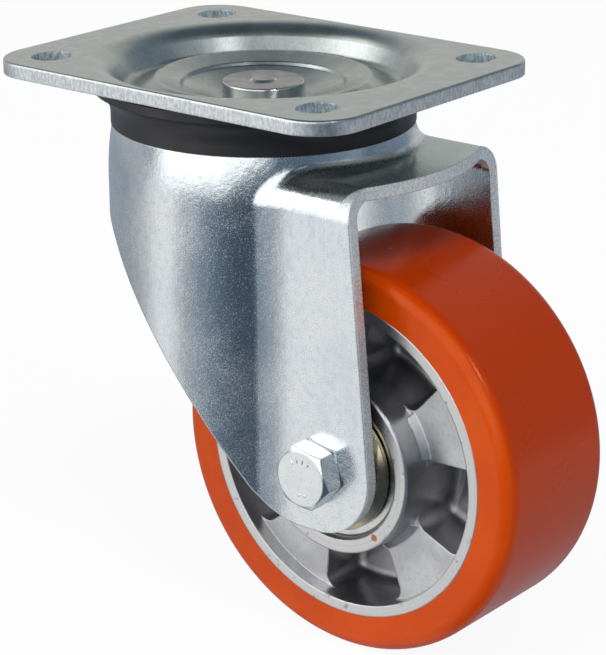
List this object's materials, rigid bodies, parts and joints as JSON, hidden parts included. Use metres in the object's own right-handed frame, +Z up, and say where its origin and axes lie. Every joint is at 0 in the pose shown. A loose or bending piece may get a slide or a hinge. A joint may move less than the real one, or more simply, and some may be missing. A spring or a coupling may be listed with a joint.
{
  "type": "swivel castor",
  "caption": "Heavy-duty swivel castor: pressed plate with slotted holes, drawn steel fork, cast wheel core with a bonded tyre on ball bearings.",
  "frame": {"origin": "centre of the mounting plate's upper face, on the swivel axis", "axes": "+Z up out of the plate's upper face, +X along the axle towards its nut, +Y the leading direction, so the wheel trails towards -Y"},
  "size_m": [0.1076, 0.18, 0.175],
  "materials": {
    "zinc_plate": "zinc plated sheet, satin",
    "zinc_fork": "bright blue zinc plated drawn sheet, glossy",
    "fastener_zinc": "bright zinc plated",
    "kingpin_steel": "turned and plated",
    "race_steel": "ground steel",
    "shield_steel": "pressed steel",
    "ball_steel": "polished",
    "black_plastic": "moulded, slightly satin",
    "cast_aluminium": "die cast, its rim and hub faces machined",
    "red_polyurethane": "cast polyurethane, satin gloss",
    "yellow_zinc": "yellow passivated zinc"
  },
  "bodies": {
    "plate": {"top_plate": "zinc_plate", "kingpin": "kingpin_steel", "kingpin_nut": "fastener_zinc", "lower_race": "race_steel"},
    "fork": {"fork": "zinc_fork", "dust_seal": "black_plastic", "axle_bolt": "fastener_zinc", "axle_nut": "fastener_zinc", "axle_tube": "race_steel", "centre_spacer": "race_steel", "bolt_side_spacer": "yellow_zinc", "nut_side_spacer": "yellow_zinc", "bolt_side_inner_ring": "race_steel", "nut_side_inner_ring": "race_steel"},
    "wheel": {"wheel_core": "cast_aluminium", "tyre": "red_polyurethane", "bolt_side_outer_ring": "race_steel", "nut_side_outer_ring": "race_steel", "bolt_side_outer_shield": "shield_steel", "bolt_side_inner_shield": "shield_steel", "nut_side_outer_shield": "shield_steel", "nut_side_inner_shield": "shield_steel"},
    "upper_ball_set": {"upper_swivel_balls": "ball_steel"},
    "lower_ball_set": {"lower_swivel_balls": "ball_steel"},
    "bolt_side_cage_set": {"bolt_side_bearing_cage": "shield_steel", "bolt_side_bearing_balls": "ball_steel"},
    "nut_side_cage_set": {"nut_side_bearing_cage": "shield_steel", "nut_side_bearing_balls": "ball_steel"}
  },
  "joints": [
    {"name": "swivel", "type": "hinge", "parent": "plate", "child": "fork", "pos_m": [0, 0, 0], "axis": [0, 0, 1], "continuous": true},
    {"name": "wheel_spin", "type": "hinge", "parent": "fork", "child": "wheel", "pos_m": [0, -0.05, -0.1125], "axis": [1, 0, 0], "continuous": true},
    {"name": "upper_balls_orbit", "type": "hinge", "parent": "plate", "child": "upper_ball_set", "pos_m": [0, 0, 0], "axis": [0, 0, 1], "continuous": true},
    {"name": "lower_balls_orbit", "type": "hinge", "parent": "plate", "child": "lower_ball_set", "pos_m": [0, 0, 0], "axis": [0, 0, 1], "continuous": true},
    {"name": "bolt_side_cage_orbit", "type": "hinge", "parent": "fork", "child": "bolt_side_cage_set", "pos_m": [0, -0.05, -0.1125], "axis": [1, 0, 0], "continuous": true},
    {"name": "nut_side_cage_orbit", "type": "hinge", "parent": "fork", "child": "nut_side_cage_set", "pos_m": [0, -0.05, -0.1125], "axis": [1, 0, 0], "continuous": true}
  ],
  "couplings": [
    {"joint": "upper_balls_orbit", "follows": "swivel", "ratio": 0.5},
    {"joint": "lower_balls_orbit", "follows": "swivel", "ratio": 0.5},
    {"joint": "bolt_side_cage_orbit", "follows": "wheel_spin", "ratio": 0.6185},
    {"joint": "nut_side_cage_orbit", "follows": "wheel_spin", "ratio": 0.6185}
  ]
}
